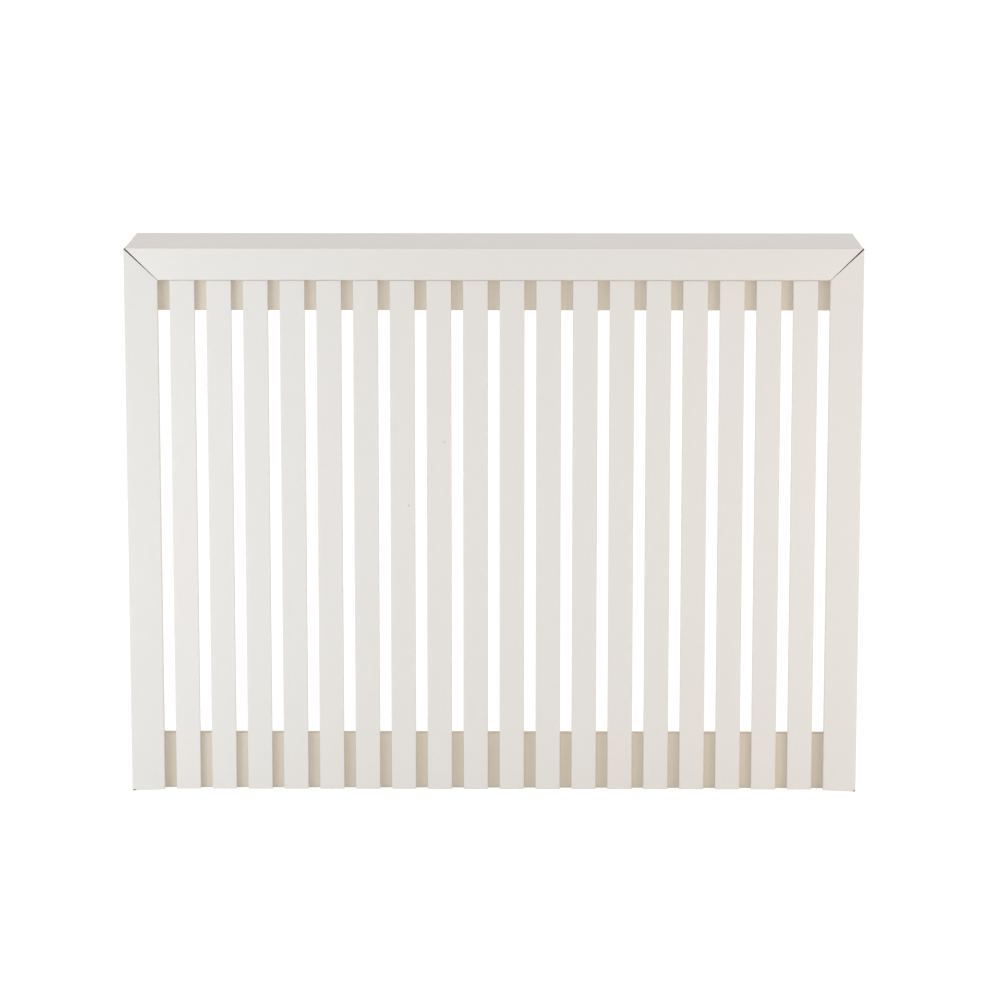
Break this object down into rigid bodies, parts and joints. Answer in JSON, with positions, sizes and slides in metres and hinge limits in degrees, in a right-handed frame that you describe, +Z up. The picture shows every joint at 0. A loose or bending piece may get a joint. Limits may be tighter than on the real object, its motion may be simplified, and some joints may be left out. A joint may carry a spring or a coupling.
{
  "type": "radiator cover cabinet",
  "caption": "Free-standing painted cabinet with a mitred front frame round upright slats, a shelf top, plain sides and an open back, made to stand over a wall radiator.",
  "frame": {"origin": "on the floor under the middle of the cabinet: the bottom centre of its bounding box", "axes": "+Z up, +X to the right along the front as seen from in front, the slatted front faces -Y and the open back faces the wall at +Y"},
  "size_m": [1.126, 0.2, 0.85],
  "materials": {
    "satin_paint": "smooth satin off-white paint on fibreboard; raw brown fibreboard shows in the open mitres",
    "rail_paint": "warmer cream undercoat on fibreboard, matt to satin",
    "pine": "planed softwood, unfinished",
    "beech": "turned hardwood, unfinished",
    "birch_ply": "thin plywood, unfinished",
    "zinc_steel": "bright zinc plate on pressed strip",
    "screw_steel": "bright zinc plate on turned screws"
  },
  "bodies": {
    "root": {"top_panel": "satin_paint", "side_panel_left": "satin_paint", "side_panel_right": "satin_paint", "fascia": "satin_paint", "stile_left": "satin_paint", "stile_right": "satin_paint", "slat_01": "satin_paint", "slat_02": "satin_paint", "slat_03": "satin_paint", "slat_04": "satin_paint", "slat_05": "satin_paint", "slat_06": "satin_paint", "slat_07": "satin_paint", "slat_08": "satin_paint", "slat_09": "satin_paint", "slat_10": "satin_paint", "slat_11": "satin_paint", "slat_12": "satin_paint", "slat_13": "satin_paint", "slat_14": "satin_paint", "slat_15": "satin_paint", "slat_16": "satin_paint", "slat_17": "satin_paint", "slat_18": "satin_paint", "upper_rail": "rail_paint", "lower_rail": "rail_paint", "top_batten_left": "pine", "top_batten_right": "pine", "upper_rail_block_left": "pine", "upper_rail_block_right": "pine", "lower_rail_block_left": "pine", "lower_rail_block_right": "pine", "fascia_dowel_1": "beech", "fascia_dowel_2": "beech", "fascia_dowel_3": "beech", "fascia_dowel_4": "beech", "stile_dowel_left_1": "beech", "stile_dowel_left_2": "beech", "stile_dowel_left_3": "beech", "stile_dowel_right_1": "beech", "stile_dowel_right_2": "beech", "stile_dowel_right_3": "beech", "mitre_tongue_left": "birch_ply", "mitre_tongue_right": "birch_ply", "wall_bracket_left": "zinc_steel", "wall_bracket_right": "zinc_steel", "top_batten_screw_up_left": "screw_steel", "top_batten_screw_up_right": "screw_steel", "top_batten_screw_side_left": "screw_steel", "top_batten_screw_side_right": "screw_steel", "upper_rail_block_screw_left": "screw_steel", "upper_rail_block_screw_right": "screw_steel", "lower_rail_block_screw_left": "screw_steel", "lower_rail_block_screw_right": "screw_steel", "wall_bracket_screw_left_1": "screw_steel", "wall_bracket_screw_left_2": "screw_steel", "wall_bracket_screw_right_1": "screw_steel", "wall_bracket_screw_right_2": "screw_steel"}
  },
  "joints": []
}
